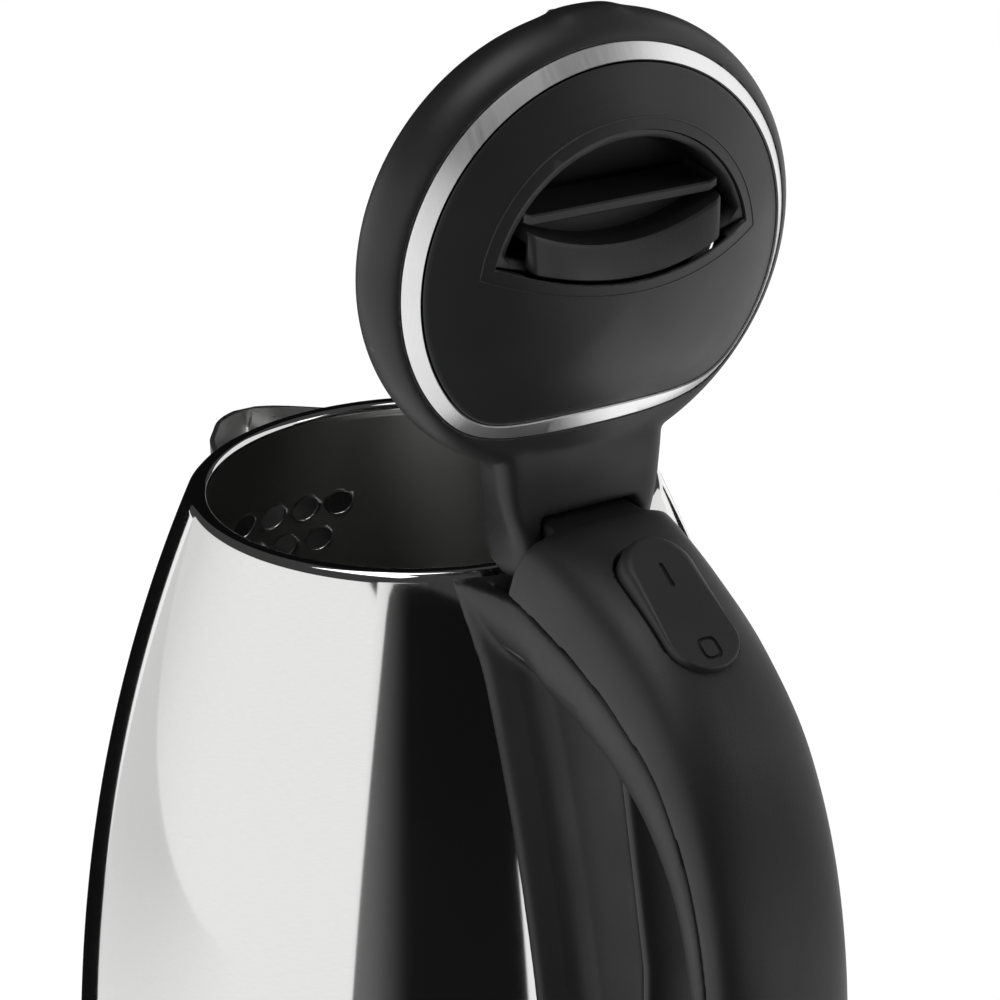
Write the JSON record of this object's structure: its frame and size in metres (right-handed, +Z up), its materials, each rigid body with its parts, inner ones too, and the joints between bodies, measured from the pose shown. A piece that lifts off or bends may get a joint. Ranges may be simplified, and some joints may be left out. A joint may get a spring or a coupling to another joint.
{
  "type": "electric kettle",
  "caption": "Cordless electric kettle: swelling polished steel jug, black D handle with rocker switch, domed hinged lid standing open, strainer spout and round power base.",
  "frame": {"origin": "on the jug's vertical axis, at the plane that the power base stands on", "axes": "+Z up, handle and lid hinge towards +X, spout towards -X, mirror plane Y = 0"},
  "size_m": [0.2103, 0.159, 0.312],
  "materials": {
    "polished_steel": "mirror-polished stainless steel",
    "brushed_steel": "fine brushed stainless steel",
    "black_plastic": "satin black moulded plastic",
    "grey_rubber": "soft matte rubber",
    "zinc_alloy": "plain metal",
    "spring_steel": "bright drawn wire",
    "brass": "plain brass"
  },
  "bodies": {
    "base": {"base_housing": "black_plastic", "base_plate": "black_plastic", "base_post": "black_plastic", "cord_gland": "grey_rubber", "live_ring": "brass", "earth_pin": "brass", "base_foot_1": "grey_rubber", "base_foot_2": "grey_rubber", "base_foot_3": "grey_rubber", "base_foot_4": "grey_rubber", "base_boss_1": "black_plastic", "base_boss_2": "black_plastic", "base_boss_3": "black_plastic", "base_screw_1": "zinc_alloy", "base_screw_2": "zinc_alloy", "base_screw_3": "zinc_alloy"},
    "connector": {"jug_connector": "black_plastic"},
    "jug": {"jug_shell": "polished_steel", "spout": "brushed_steel", "foot_ring": "black_plastic", "heater_plate": "polished_steel", "heater_seal": "grey_rubber", "heat_spreader": "zinc_alloy", "heating_element": "zinc_alloy", "bottom_cover": "black_plastic", "cover_boss_1": "black_plastic", "cover_boss_2": "black_plastic", "cover_boss_3": "black_plastic", "cover_screw_1": "zinc_alloy", "cover_screw_2": "zinc_alloy", "cover_screw_3": "zinc_alloy", "grip_outer_shell": "black_plastic", "grip_inner_shell": "black_plastic", "handle_screw_top": "zinc_alloy", "handle_screw_bottom": "zinc_alloy", "hinge_mount": "black_plastic", "hinge_pin": "black_plastic", "hinge_spring": "spring_steel", "spine_side_left": "black_plastic", "spine_side_right": "black_plastic", "spine_cover": "black_plastic", "rocker_pin": "zinc_alloy", "switch_frame": "black_plastic", "switch_body": "black_plastic", "steam_disc": "zinc_alloy"},
    "lid": {"lid_cap": "black_plastic", "lid_ring": "brushed_steel", "lid_plate": "black_plastic", "recess_cup": "black_plastic", "lid_floor": "black_plastic", "lid_seal": "grey_rubber", "lid_screw_1": "zinc_alloy", "lid_screw_2": "zinc_alloy", "lever_spring": "spring_steel"},
    "lid_release": {"lid_lever": "black_plastic", "latch_bolt": "black_plastic"},
    "rocker": {"rocker": "black_plastic"}
  },
  "joints": [
    {"name": "lift", "type": "slide", "parent": "base", "child": "connector", "axis": [0, 0, 1], "range_m": [0, 0.08]},
    {"name": "swivel", "type": "hinge", "parent": "connector", "child": "jug", "pos_m": [0, 0, 0.03], "axis": [0, 0, 1], "continuous": true},
    {"name": "lid_hinge", "type": "hinge", "parent": "jug", "child": "lid", "pos_m": [0.056, 0, 0.2135], "axis": [0, 1, 0], "range_deg": [-96.5, 0], "stiffness_Nm_per_rad": 0.02, "springref_deg": 17.19},
    {"name": "lid_lever", "type": "slide", "parent": "lid", "child": "lid_release", "axis": [-0.1132, 0, -0.9936], "range_m": [0, 0.003], "stiffness_N_per_m": 200, "springref_m": -0.002, "deforming": ["lever_spring"]},
    {"name": "rocker_switch", "type": "hinge", "parent": "jug", "child": "rocker", "pos_m": [0.08702, 0, 0.20666], "axis": [0, 1, 0], "range_deg": [-12, 0]}
  ]
}
